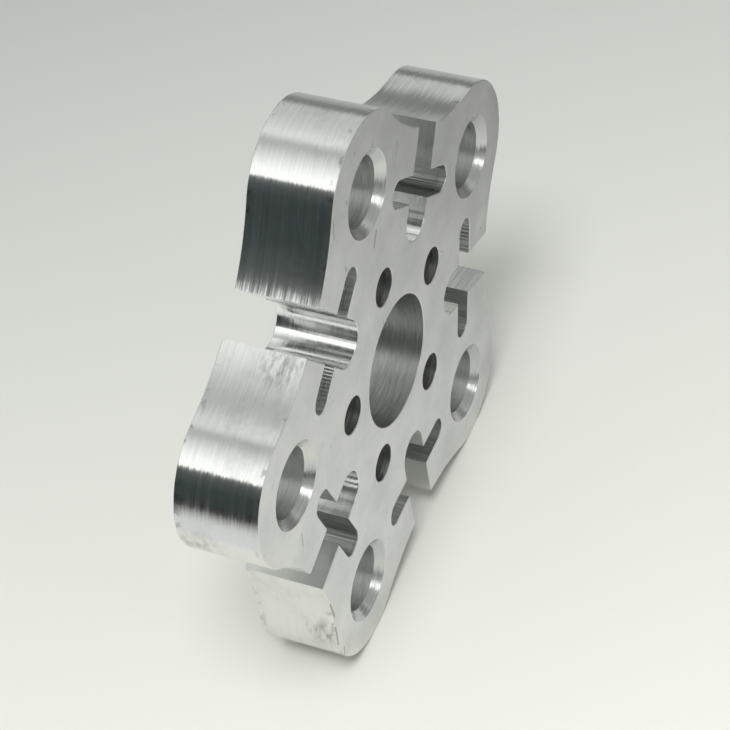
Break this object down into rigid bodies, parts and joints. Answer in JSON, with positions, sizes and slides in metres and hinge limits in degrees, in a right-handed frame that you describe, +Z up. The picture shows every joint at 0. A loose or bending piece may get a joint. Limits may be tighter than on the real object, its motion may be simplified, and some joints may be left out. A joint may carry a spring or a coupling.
{
  "type": "slotted hub plate",
  "caption": "Flat milled aluminium hub plate with rounded lobes, countersunk lobe holes, a central bore, tapped-size holes round it, and crossed slots open at the rim.",
  "frame": {"origin": "on the bore's axis at mid thickness", "axes": "the bore runs along Y with the countersunk front facing -Y, +Z points up along one lobe, and the plate stands on the two lobes opposite it; X runs across the plate"},
  "size_m": [0.0774, 0.011, 0.0747],
  "materials": {
    "milled_aluminium": "bright as milled: faint facing arcs on the faces, fine cutter lines along the side walls"
  },
  "bodies": {
    "root": {"hub_plate": "milled_aluminium"}
  },
  "joints": []
}
